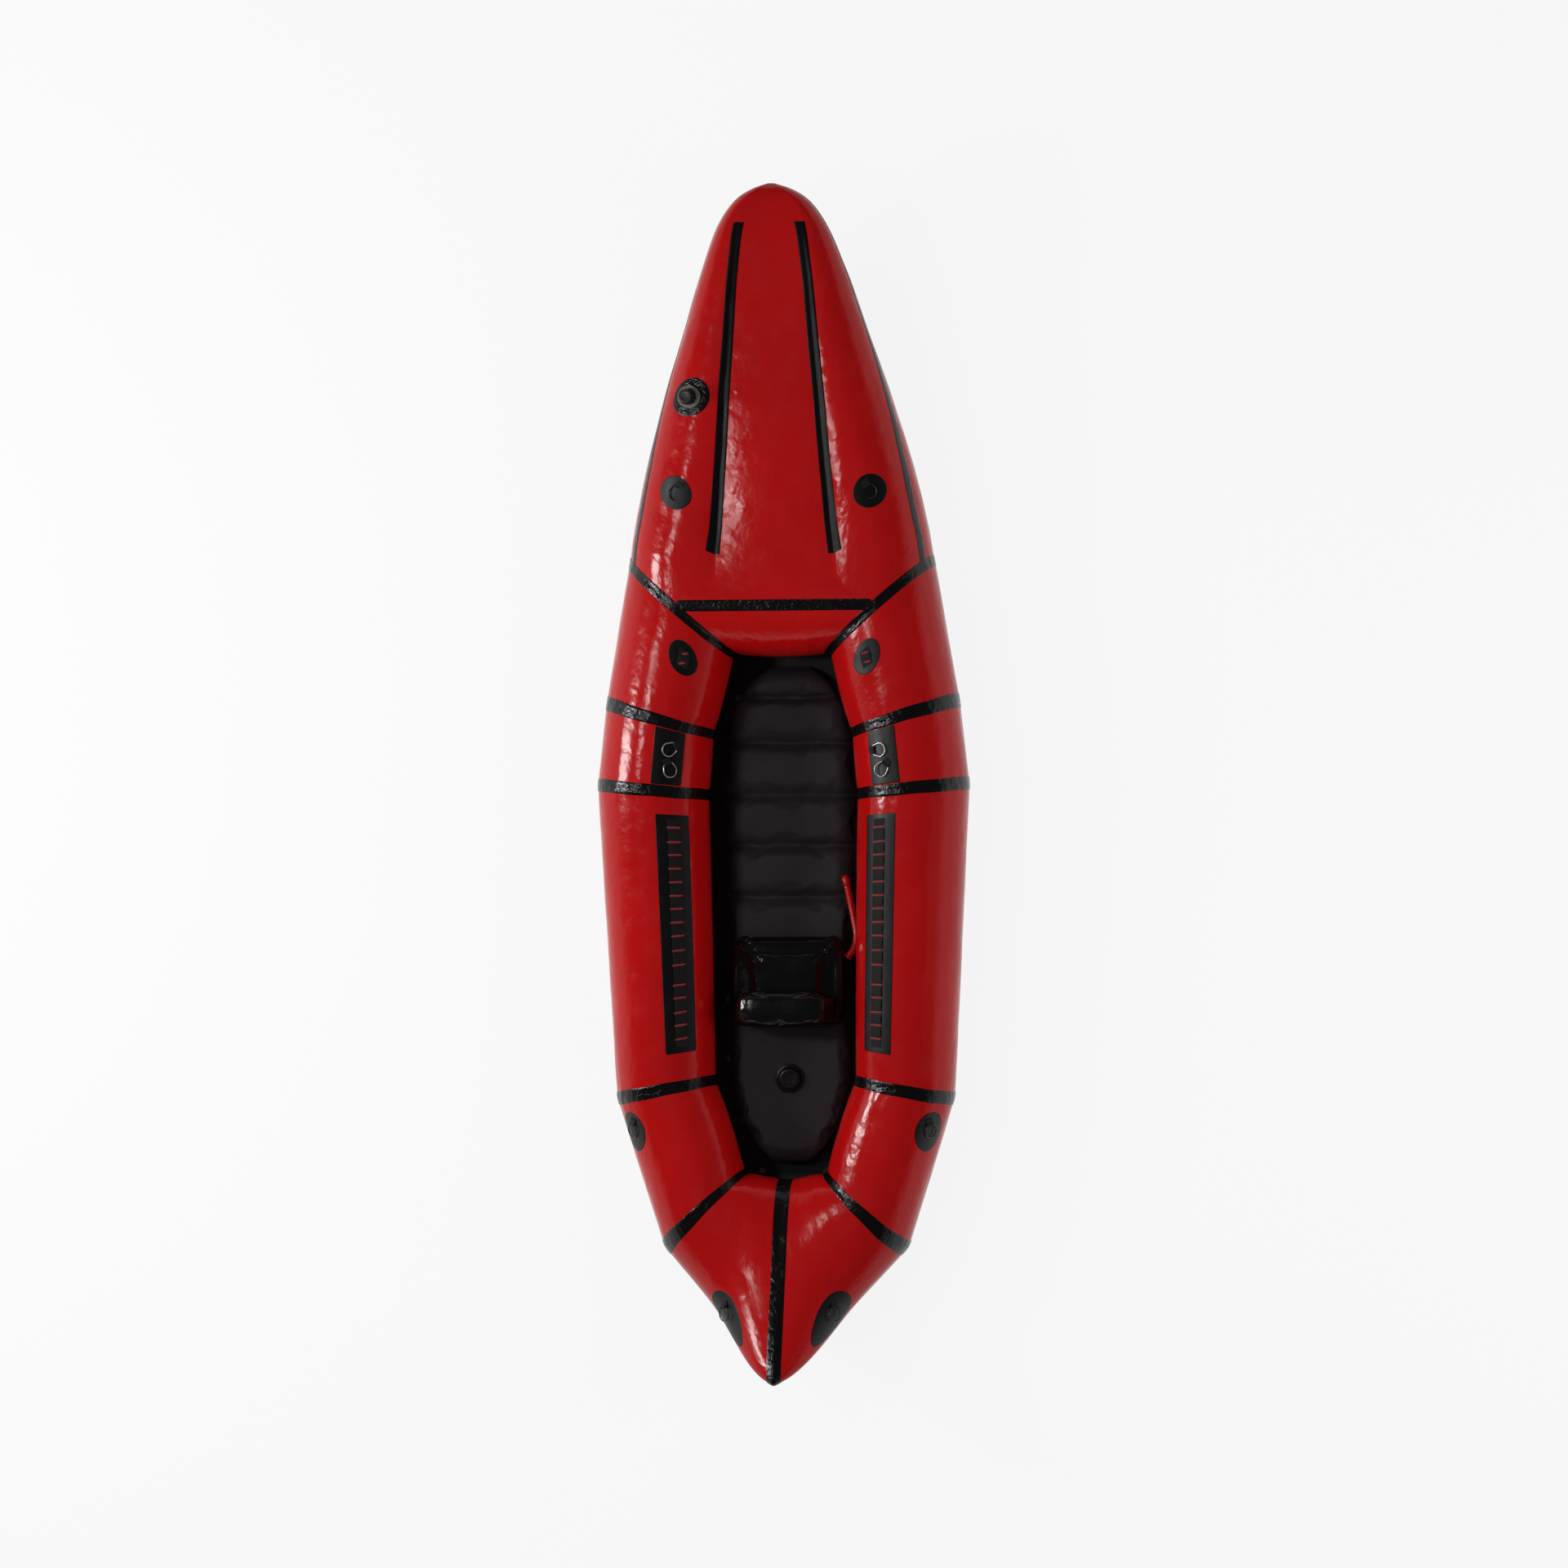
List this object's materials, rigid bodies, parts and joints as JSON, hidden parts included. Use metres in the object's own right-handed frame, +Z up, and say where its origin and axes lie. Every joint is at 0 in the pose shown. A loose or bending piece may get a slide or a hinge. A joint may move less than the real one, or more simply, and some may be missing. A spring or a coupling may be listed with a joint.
{
  "type": "inflatable packraft",
  "caption": "Self-bailing inflatable raft for a single paddler, with taped tubes, a quilted floor mat, a blow-up seat, lashing points and twist valves.",
  "frame": {"origin": "centre of the bounding box's base, on the ground under the floor sheet", "axes": "+Y towards the bow, +Z up, +X to the paddler's right"},
  "size_m": [0.911, 2.8974, 0.3558],
  "materials": {
    "red_fabric": "coated, semi-gloss",
    "black_fabric": "coated, semi-gloss",
    "mat_fabric": "coated, satin",
    "seat_fabric": "coated, glossy",
    "webbing": "woven, matt",
    "red_hose": "smooth, satin",
    "steel": "polished wire",
    "black_plastic": "moulded",
    "grey_plastic": "moulded"
  },
  "bodies": {
    "hull": {"bow_deck_panel": "red_fabric", "bow_hull_panel": "red_fabric", "bow_cockpit_wall": "red_fabric", "front_tube_left": "red_fabric", "front_tube_right": "red_fabric", "side_tube_left": "red_fabric", "side_tube_right": "red_fabric", "quarter_tube_left": "red_fabric", "quarter_tube_right": "red_fabric", "stern_tube_left": "red_fabric", "stern_tube_right": "red_fabric", "bow_seam_tape": "black_fabric", "stern_centre_tape": "black_fabric", "shoulder_seam_tape_left": "black_fabric", "shoulder_seam_tape_right": "black_fabric", "waist_seam_tape_left": "black_fabric", "waist_seam_tape_right": "black_fabric", "quarter_seam_tape_left": "black_fabric", "quarter_seam_tape_right": "black_fabric", "stern_seam_tape_left": "black_fabric", "stern_seam_tape_right": "black_fabric", "bow_deck_strip_left": "black_fabric", "bow_deck_strip_right": "black_fabric", "bow_baffle": "black_fabric", "floor_sheet": "black_fabric", "floor_mat": "mat_fabric", "seat_cushion": "seat_fabric", "seat_hose": "red_hose", "main_valve_flange": "black_fabric", "mat_valve_body": "black_plastic", "lash_strip_left": "webbing", "lash_strip_right": "webbing", "loop_patch_left": "webbing", "loop_patch_right": "webbing", "ring_patch_left": "webbing", "ring_patch_right": "webbing", "tie_patch_bow_left": "webbing", "tie_patch_bow_right": "webbing", "tie_patch_quarter_left": "webbing", "tie_patch_quarter_right": "webbing", "tie_patch_stern_left": "webbing", "tie_patch_stern_right": "webbing", "mat_valve_spring": "steel"},
    "steel_ring_front_left_body": {"steel_ring_front_left": "steel"},
    "steel_ring_rear_left_body": {"steel_ring_rear_left": "steel"},
    "steel_ring_front_right_body": {"steel_ring_front_right": "steel"},
    "steel_ring_rear_right_body": {"steel_ring_rear_right": "steel"},
    "tie_ring_bow_left_body": {"tie_ring_bow_left": "black_plastic"},
    "tie_ring_bow_right_body": {"tie_ring_bow_right": "black_plastic"},
    "tie_ring_quarter_left_body": {"tie_ring_quarter_left": "black_plastic"},
    "tie_ring_quarter_right_body": {"tie_ring_quarter_right": "black_plastic"},
    "tie_ring_stern_left_body": {"tie_ring_stern_left": "black_plastic"},
    "tie_ring_stern_right_body": {"tie_ring_stern_right": "black_plastic"},
    "backrest": {"seat_backrest": "seat_fabric"},
    "main_valve_insert": {"main_valve_body": "grey_plastic", "main_valve_diaphragm": "black_plastic"},
    "main_valve_lid": {"main_valve_cap": "black_plastic"},
    "mat_valve_lid": {"mat_valve_cap": "black_plastic"},
    "mat_valve_button": {"mat_valve_plunger": "black_plastic"},
    "mouth_valve": {"seat_hose_mouth_valve": "red_hose"}
  },
  "joints": [
    {"name": "steel_ring_front_left_swing", "type": "hinge", "parent": "hull", "child": "steel_ring_front_left_body", "pos_m": [-0.24573, 0.09152, 0.26601], "axis": [-0.3539, 0.9037, 0.2411], "range_deg": [0, 150]},
    {"name": "steel_ring_rear_left_swing", "type": "hinge", "parent": "hull", "child": "steel_ring_rear_left_body", "pos_m": [-0.2617, 0.0493, 0.27252], "axis": [-0.8321, -0.3441, 0.4351], "range_deg": [0, 150]},
    {"name": "steel_ring_front_right_swing", "type": "hinge", "parent": "hull", "child": "steel_ring_front_right_body", "pos_m": [0.23929, 0.08077, 0.26193], "axis": [0.0634, -0.9978, -0.0168], "range_deg": [0, 150]},
    {"name": "steel_ring_rear_right_swing", "type": "hinge", "parent": "hull", "child": "steel_ring_rear_right_body", "pos_m": [0.26798, 0.04621, 0.27419], "axis": [-0.7523, 0.6372, -0.1677], "range_deg": [0, 150]},
    {"name": "tie_ring_bow_left_swing", "type": "hinge", "parent": "hull", "child": "tie_ring_bow_left_body", "pos_m": [-0.2296, 0.71807, 0.29091], "axis": [-0.8853, 0.465, 0.0081], "range_deg": [0, 150]},
    {"name": "tie_ring_bow_right_swing", "type": "hinge", "parent": "hull", "child": "tie_ring_bow_right_body", "pos_m": [0.2296, 0.71807, 0.29091], "axis": [-0.8853, -0.465, -0.0081], "range_deg": [0, 150]},
    {"name": "tie_ring_quarter_left_swing", "type": "hinge", "parent": "hull", "child": "tie_ring_quarter_left_body", "pos_m": [-0.36546, -0.82523, 0.2097], "axis": [-0.6891, 0.306, -0.6568], "range_deg": [0, 150]},
    {"name": "tie_ring_quarter_right_swing", "type": "hinge", "parent": "hull", "child": "tie_ring_quarter_right_body", "pos_m": [0.36546, -0.82523, 0.2097], "axis": [-0.6891, -0.306, 0.6568], "range_deg": [0, 150]},
    {"name": "tie_ring_stern_left_swing", "type": "hinge", "parent": "hull", "child": "tie_ring_stern_left_body", "pos_m": [-0.13771, -1.26589, 0.25013], "axis": [-0.7361, -0.133, -0.6637], "range_deg": [0, 150]},
    {"name": "tie_ring_stern_right_swing", "type": "hinge", "parent": "hull", "child": "tie_ring_stern_right_body", "pos_m": [0.13771, -1.26589, 0.25013], "axis": [-0.7361, 0.133, 0.6637], "range_deg": [0, 150]},
    {"name": "backrest_fold", "type": "hinge", "parent": "hull", "child": "backrest", "pos_m": [0, -0.50074, 0.1324], "axis": [-1, 0, 0], "range_deg": [0, 70]},
    {"name": "main_valve_body_turn", "type": "hinge", "parent": "hull", "child": "main_valve_insert", "pos_m": [-0.19795, 0.9355, 0.29998], "axis": [-0.1143, -0.0123, 0.9934], "range_deg": [0, 450]},
    {"name": "main_valve_cap_turn", "type": "hinge", "parent": "main_valve_insert", "child": "main_valve_lid", "pos_m": [-0.19795, 0.9355, 0.29998], "axis": [-0.1143, -0.0123, 0.9934], "range_deg": [0, 540]},
    {"name": "mat_valve_cap_turn", "type": "hinge", "parent": "hull", "child": "mat_valve_lid", "pos_m": [0, -0.71855, 0.0571], "axis": [0, 0, 1], "range_deg": [0, 90]},
    {"name": "mat_valve_press", "type": "slide", "parent": "hull", "child": "mat_valve_button", "axis": [0, 0, -1], "range_m": [0, 0.004], "stiffness_N_per_m": 250, "springref_m": -0.003, "deforming": ["mat_valve_spring"]},
    {"name": "mouth_valve_twist", "type": "hinge", "parent": "hull", "child": "mouth_valve", "pos_m": [0.14308, -0.24576, 0.06068], "axis": [-0.208, 0.9767, -0.0527], "range_deg": [0, 90]}
  ]
}
